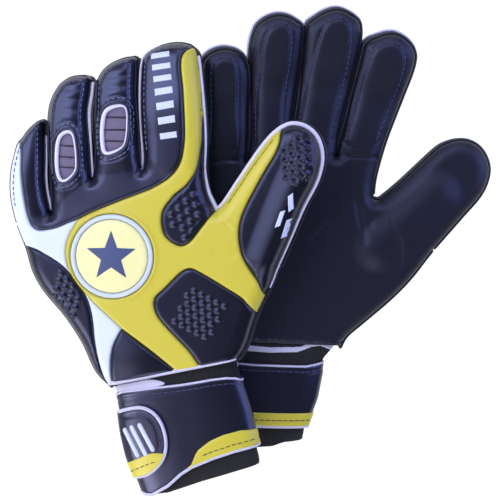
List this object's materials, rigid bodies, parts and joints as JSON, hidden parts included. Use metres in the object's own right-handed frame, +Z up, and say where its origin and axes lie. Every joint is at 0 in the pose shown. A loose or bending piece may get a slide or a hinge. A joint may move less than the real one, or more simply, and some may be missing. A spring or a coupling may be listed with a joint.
{
  "type": "pair of goalkeeper gloves",
  "caption": "Pair of padded goalkeeper gloves, one palm up and one back up, with hinged fingers, swinging thumbs and peelable wrist tabs.",
  "frame": {"origin": "centre of the bounding box on the table that the pair lies on", "axes": "+Z up from the table, +Y towards the fingertips, +X towards the thumbs"},
  "size_m": [0.2858, 0.292, 0.0693],
  "materials": {
    "black_cover": "smooth semi-gloss coated leather",
    "black_palm": "smooth satin coated foam",
    "yellow_cover": "smooth semi-gloss coated leather",
    "white_cover": "smooth semi-gloss coated leather",
    "vent_mesh": "ribbed mesh",
    "gusset": "satin",
    "piping": "satin cord",
    "elastic": "knitted stretch band",
    "lining": "brushed knit",
    "hook": "hook tape"
  },
  "bodies": {
    "right_hand": {"right_back_body": "black_cover", "right_badge": "yellow_cover", "right_grip_pads": "black_cover", "right_inner_cuff": "lining", "right_palm_panel": "black_palm", "right_piping": "piping", "right_side_gusset": "gusset", "right_strap_trim": "yellow_cover", "right_vent_mesh": "vent_mesh", "right_white_panel": "white_cover", "right_wrist_elastic": "elastic", "right_wrist_strap": "black_cover", "right_yellow_panel": "yellow_cover"},
    "right_little": {"right_little_back_tip": "black_cover", "right_little_palm_tip": "black_palm", "right_little_tip_gusset": "gusset"},
    "right_ring": {"right_ring_back_tip": "black_cover", "right_ring_palm_tip": "black_palm", "right_ring_tip_gusset": "gusset"},
    "right_middle": {"right_middle_back_tip": "black_cover", "right_middle_palm_tip": "black_palm", "right_middle_tip_gusset": "gusset"},
    "right_index": {"right_index_back_tip": "black_cover", "right_index_palm_tip": "black_palm", "right_index_tip_gusset": "gusset"},
    "right_thumb": {"right_thumb_back_tip": "black_cover", "right_thumb_palm_tip": "black_palm", "right_thumb_tip_gusset": "gusset"},
    "right_tab": {"right_strap_tab": "black_cover", "right_hook_patch": "hook"},
    "left_hand": {"left_back_body": "black_cover", "left_badge": "yellow_cover", "left_grip_pads": "black_cover", "left_inner_cuff": "lining", "left_palm_panel": "black_palm", "left_piping": "piping", "left_side_gusset": "gusset", "left_strap_trim": "yellow_cover", "left_vent_mesh": "vent_mesh", "left_white_panel": "white_cover", "left_wrist_elastic": "elastic", "left_wrist_strap": "black_cover", "left_yellow_panel": "yellow_cover"},
    "left_little": {"left_little_back_tip": "black_cover", "left_little_palm_tip": "black_palm", "left_little_tip_gusset": "gusset"},
    "left_ring": {"left_ring_back_tip": "black_cover", "left_ring_palm_tip": "black_palm", "left_ring_tip_gusset": "gusset"},
    "left_middle": {"left_middle_back_tip": "black_cover", "left_middle_palm_tip": "black_palm", "left_middle_tip_gusset": "gusset"},
    "left_index": {"left_index_back_tip": "black_cover", "left_index_palm_tip": "black_palm", "left_index_tip_gusset": "gusset"},
    "left_thumb": {"left_thumb_back_tip": "black_cover", "left_thumb_palm_tip": "black_palm", "left_thumb_tip_gusset": "gusset"},
    "left_tab": {"left_strap_tab": "black_cover", "left_hook_patch": "hook"}
  },
  "joints": [
    {"name": "left_lift", "type": "slide", "parent": "right_hand", "child": "left_hand", "axis": [0, 0, 1], "range_m": [0, 0.15]},
    {"name": "right_little_flex", "type": "hinge", "parent": "right_hand", "child": "right_little", "pos_m": [-0.01446, 0.08639, 0.0258], "axis": [1, 0, 0], "range_deg": [-9.5, 65], "stiffness_Nm_per_rad": 0.15},
    {"name": "right_ring_flex", "type": "hinge", "parent": "right_hand", "child": "right_ring", "pos_m": [0.01353, 0.09894, 0.0258], "axis": [0.9903, -0.1392, 0], "range_deg": [-9.5, 65], "stiffness_Nm_per_rad": 0.15},
    {"name": "right_middle_flex", "type": "hinge", "parent": "right_hand", "child": "right_middle", "pos_m": [0.04584, 0.10025, 0.0258], "axis": [0.9816, -0.1908, 0], "range_deg": [-9.5, 65], "stiffness_Nm_per_rad": 0.15},
    {"name": "right_index_flex", "type": "hinge", "parent": "right_hand", "child": "right_index", "pos_m": [0.0771, 0.0891, 0.0258], "axis": [0.9703, -0.2419, 0], "range_deg": [-9.5, 65], "stiffness_Nm_per_rad": 0.15},
    {"name": "right_thumb_swing", "type": "hinge", "parent": "right_hand", "child": "right_thumb", "pos_m": [0.0965, 0.01599, 0.0138], "axis": [0, 0, -1], "range_deg": [-18, 12], "stiffness_Nm_per_rad": 0.2},
    {"name": "right_tab_peel", "type": "hinge", "parent": "right_hand", "child": "right_tab", "pos_m": [-0.0309, -0.09349, 0.00295], "axis": [0.0523, 0.9986, 0], "range_deg": [0, 120]},
    {"name": "left_little_flex", "type": "hinge", "parent": "left_hand", "child": "left_little", "pos_m": [-0.12707, 0.0474, 0.00333], "axis": [-0.9997, 0.0255, 0], "range_deg": [-9.5, 65], "stiffness_Nm_per_rad": 0.15},
    {"name": "left_ring_flex", "type": "hinge", "parent": "left_hand", "child": "left_ring", "pos_m": [-0.10408, 0.06877, 0.00811], "axis": [-0.9982, 0.0595, 0], "range_deg": [-9.5, 65], "stiffness_Nm_per_rad": 0.15},
    {"name": "left_middle_flex", "type": "hinge", "parent": "left_hand", "child": "left_middle", "pos_m": [-0.07628, 0.07892, 0.01432], "axis": [-0.9997, 0.0255, 0], "range_deg": [-9.5, 65], "stiffness_Nm_per_rad": 0.15},
    {"name": "left_index_flex", "type": "hinge", "parent": "left_hand", "child": "left_index", "pos_m": [-0.04581, 0.08198, 0.02035], "axis": [-0.991, -0.0087, -0.1337], "range_deg": [-9.5, 65], "stiffness_Nm_per_rad": 0.15},
    {"name": "left_thumb_swing", "type": "hinge", "parent": "left_hand", "child": "left_thumb", "pos_m": [0.00286, 0.01854, 0.04748], "axis": [0.2215, 0, -0.9751], "range_deg": [-18, 12], "stiffness_Nm_per_rad": 0.2},
    {"name": "left_tab_peel", "type": "hinge", "parent": "left_hand", "child": "left_tab", "pos_m": [-0.0773, -0.11853, 0.0404], "axis": [0.2027, -0.9781, 0.0461], "range_deg": [0, 120]}
  ]
}
